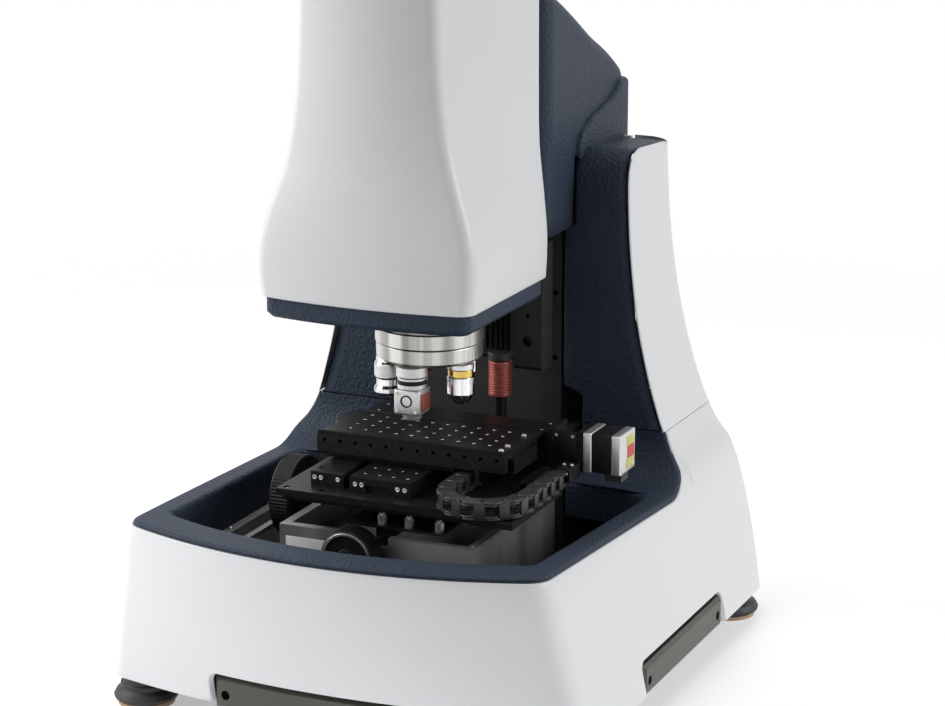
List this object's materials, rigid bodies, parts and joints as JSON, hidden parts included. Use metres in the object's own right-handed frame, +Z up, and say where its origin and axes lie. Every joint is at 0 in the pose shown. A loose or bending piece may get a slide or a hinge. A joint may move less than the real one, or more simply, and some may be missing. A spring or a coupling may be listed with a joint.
{
  "type": "optical profiler",
  "caption": "Bench-top optical surface profiler with a raised optics head on a column, a turret of objectives and a tilting cross-travel sample stage in a moulded base.",
  "frame": {"origin": "centre of the bounding box at bench level, under the feet", "axes": "+X to the right seen from the front, +Y to the rear, +Z up"},
  "size_m": [0.444, 0.5269, 0.741],
  "materials": {
    "anodised": "black anodised",
    "bar_bronze": "bronze anodised",
    "blue_shell": "leather grain",
    "bolt_black": "black oxide",
    "casting": "cast, black coated",
    "chrome": "bright",
    "drive_grey": "satin",
    "foot_black": "satin",
    "foot_tan": "matte",
    "knob_black": "black anodised, knurled",
    "ledge_grey": "satin",
    "pale_metal": "machined",
    "plastic_black": "moulded",
    "red_collar": "red anodised, knurled",
    "silver": "machined satin",
    "steel": "ground",
    "turret_black": "black anodised",
    "white_shell": "fine orange peel, satin"
  },
  "bodies": {
    "frame": {"base_casting": "casting", "column_frame": "casting", "column_liner": "blue_shell", "deck_liner": "blue_shell", "feet": "foot_black", "foot_pads": "foot_tan", "front_handle_bar": "bar_bronze", "handle_bolts": "bolt_black", "hood": "blue_shell", "left_handle_bar": "bar_bronze", "left_side_cover": "white_shell", "lower_housing": "white_shell", "power_inlet": "plastic_black", "rear_panel": "white_shell", "right_handle_bar": "bar_bronze", "right_side_cover": "white_shell", "side_ledges": "ledge_grey", "stage_rail": "steel", "tilt_base": "silver", "z_drive": "drive_grey", "z_rails": "steel", "z_stop_cap": "turret_black", "z_stop_rod": "turret_black"},
    "head": {"head_cover": "white_shell", "head_skirt": "blue_shell", "head_chassis": "pale_metal", "turret_base": "pale_metal", "head_bracket": "turret_black", "z_carriage": "drive_grey"},
    "turret": {"turret_disc": "pale_metal", "objective_1": "chrome", "objective_2": "chrome", "objective_3": "chrome", "objective_4": "chrome", "objective_5": "chrome"},
    "tip": {"tip_plate": "anodised", "tilt_posts": "steel"},
    "tilt": {"tilt_plate": "anodised", "tilt_shaft": "steel", "y_stage_bar": "anodised", "chain_tray": "anodised", "chain_fixed_leg": "plastic_black", "chain_bend": "plastic_black"},
    "front_knob": {"front_tilt_knob": "knob_black"},
    "left_knob": {"left_tilt_knob": "knob_black"},
    "y_stage": {"y_carriage": "anodised", "x_stage_base": "anodised", "motor_bracket": "anodised", "drive_coupling": "steel", "x_motor": "anodised", "motor_connector": "plastic_black", "chain_moving_leg": "plastic_black", "chain_bracket": "silver"},
    "x_table": {"x_table": "anodised", "sample_plate": "anodised"},
    "z_stop": {"z_stop_collar": "red_collar"}
  },
  "joints": [
    {"name": "head_z", "type": "slide", "parent": "frame", "child": "head", "axis": [0, 0, 1], "range_m": [-0.008, 0.1]},
    {"name": "turret_turn", "type": "hinge", "parent": "head", "child": "turret", "pos_m": [0, -0.022, 0.3], "axis": [0, 0, 1], "continuous": true},
    {"name": "tip_turn", "type": "hinge", "parent": "frame", "child": "tip", "pos_m": [0, -0.045, 0.15], "axis": [0, 1, 0], "range_deg": [-3, 3]},
    {"name": "tilt_turn", "type": "hinge", "parent": "tip", "child": "tilt", "pos_m": [0, -0.045, 0.171], "axis": [1, 0, 0], "range_deg": [-3, 3]},
    {"name": "front_knob_turn", "type": "hinge", "parent": "frame", "child": "front_knob", "pos_m": [-0.0145, -0.14, 0.143], "axis": [0, 1, 0], "range_deg": [-180, 180]},
    {"name": "left_knob_turn", "type": "hinge", "parent": "frame", "child": "left_knob", "pos_m": [-0.11, -0.045, 0.154], "axis": [1, 0, 0], "range_deg": [-180, 180]},
    {"name": "stage_y", "type": "slide", "parent": "tilt", "child": "y_stage", "axis": [0, 1, 0], "range_m": [-0.03, 0.03], "deforming": ["chain_bend"]},
    {"name": "stage_x", "type": "slide", "parent": "y_stage", "child": "x_table", "axis": [1, 0, 0], "range_m": [-0.05, 0.05]},
    {"name": "stop_slide", "type": "slide", "parent": "frame", "child": "z_stop", "axis": [0, 0, 1], "range_m": [-0.02, 0]}
  ],
  "couplings": [
    {"joint": "front_knob_turn", "follows": "tip_turn", "ratio": 60},
    {"joint": "left_knob_turn", "follows": "tilt_turn", "ratio": 60}
  ]
}
